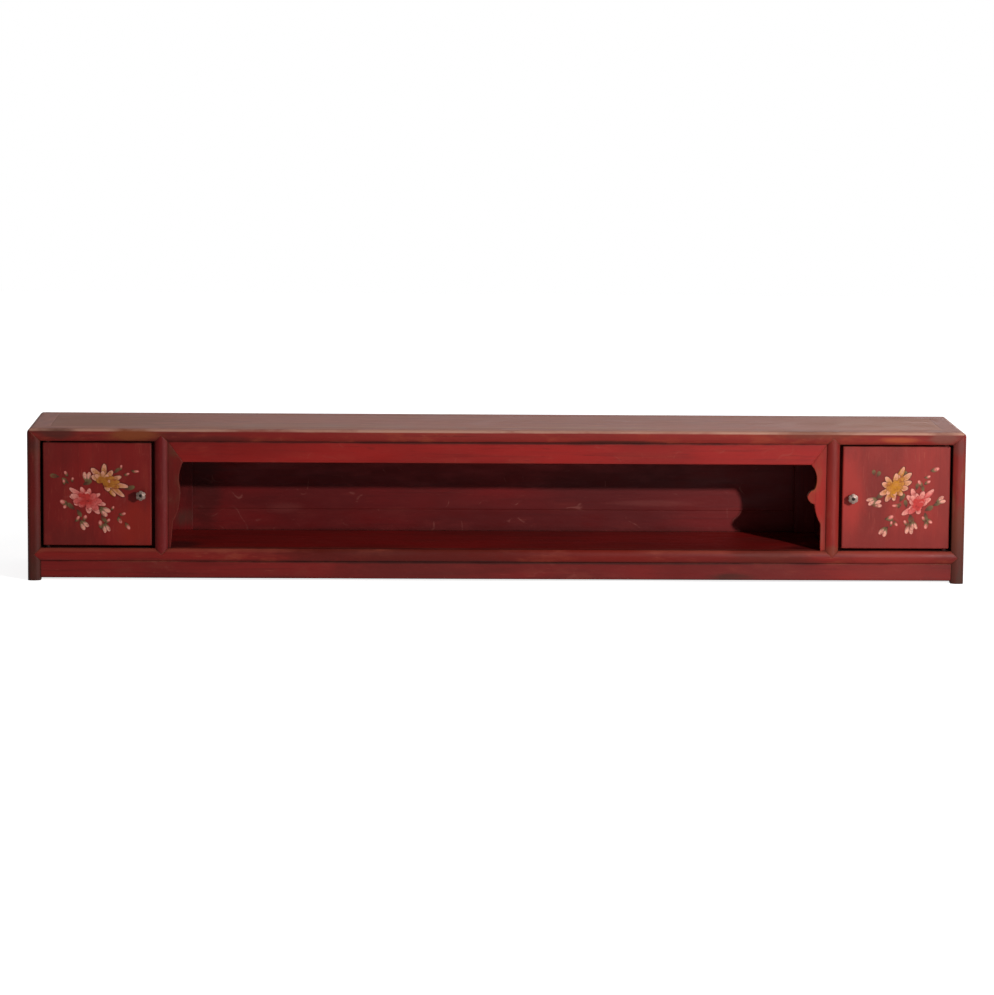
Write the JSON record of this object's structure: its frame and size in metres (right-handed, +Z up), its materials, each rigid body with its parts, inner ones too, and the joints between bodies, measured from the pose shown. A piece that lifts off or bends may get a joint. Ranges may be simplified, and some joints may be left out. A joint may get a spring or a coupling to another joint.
{
  "type": "kang cabinet",
  "caption": "Low red lacquered kang cabinet with a long open niche under a shaped apron and a pivot-hung door at each end.",
  "frame": {"origin": "on the ground, under the middle of the cabinet's box, knobs included", "axes": "+X to the right seen from the front, +Y from the doors to the back, +Z up"},
  "size_m": [1.9, 0.312, 0.31],
  "materials": {
    "frame_lacquer": "worn dark red lacquer, satin",
    "panel_lacquer": "worn red-brown lacquer, satin",
    "door_lacquer": "red lacquer with painted flower sprays, satin",
    "inner_lacquer": "thin dark red lacquer, matt",
    "bare_wood": "bare aged softwood",
    "pull_metal": "dull cast pale alloy",
    "screw_metal": "darkened"
  },
  "bodies": {
    "case": {"bottom_front_rail": "frame_lacquer", "bottom_rear_rail": "frame_lacquer", "floor_bearer_inner_left": "bare_wood", "floor_bearer_inner_right": "bare_wood", "floor_bearer_outer_left": "bare_wood", "floor_bearer_outer_right": "bare_wood", "floor_front_board": "inner_lacquer", "floor_rear_board": "inner_lacquer", "front_base_apron": "frame_lacquer", "left_back_board": "inner_lacquer", "left_base_apron": "frame_lacquer", "left_bottom_rail": "frame_lacquer", "left_door_stop": "inner_lacquer", "left_end_panel": "panel_lacquer", "left_front_post": "frame_lacquer", "left_inner_post": "frame_lacquer", "left_partition": "inner_lacquer", "left_rear_post": "frame_lacquer", "left_rear_stile": "inner_lacquer", "left_top_rail": "frame_lacquer", "niche_apron": "frame_lacquer", "niche_back_lower_board": "inner_lacquer", "niche_back_upper_board": "inner_lacquer", "niche_left_bracket": "frame_lacquer", "niche_right_bracket": "frame_lacquer", "right_back_board": "inner_lacquer", "right_base_apron": "frame_lacquer", "right_bottom_rail": "frame_lacquer", "right_door_stop": "inner_lacquer", "right_end_panel": "panel_lacquer", "right_front_post": "frame_lacquer", "right_inner_post": "frame_lacquer", "right_partition": "inner_lacquer", "right_rear_post": "frame_lacquer", "right_rear_stile": "inner_lacquer", "right_top_rail": "frame_lacquer", "top_batten_inner_left": "bare_wood", "top_batten_inner_right": "bare_wood", "top_batten_outer_left": "bare_wood", "top_batten_outer_right": "bare_wood", "top_front_board": "panel_lacquer", "top_front_rail": "frame_lacquer", "top_rear_board": "panel_lacquer", "top_rear_rail": "frame_lacquer"},
    "right_door": {"right_door_board": "door_lacquer", "right_door_lower_batten": "bare_wood", "right_door_upper_batten": "bare_wood", "right_knob": "pull_metal", "right_knob_screw": "screw_metal", "right_knob_washer": "screw_metal"},
    "left_door": {"left_door_board": "door_lacquer", "left_door_lower_batten": "bare_wood", "left_door_upper_batten": "bare_wood", "left_knob": "pull_metal", "left_knob_screw": "screw_metal", "left_knob_washer": "screw_metal"}
  },
  "joints": [
    {"name": "right_door_hinge", "type": "hinge", "parent": "case", "child": "right_door", "pos_m": [0.91, -0.127, 0.071], "axis": [0, 0, 1], "range_deg": [0, 105]},
    {"name": "left_door_hinge", "type": "hinge", "parent": "case", "child": "left_door", "pos_m": [-0.91, -0.127, 0.071], "axis": [0, 0, -1], "range_deg": [0, 105]}
  ]
}
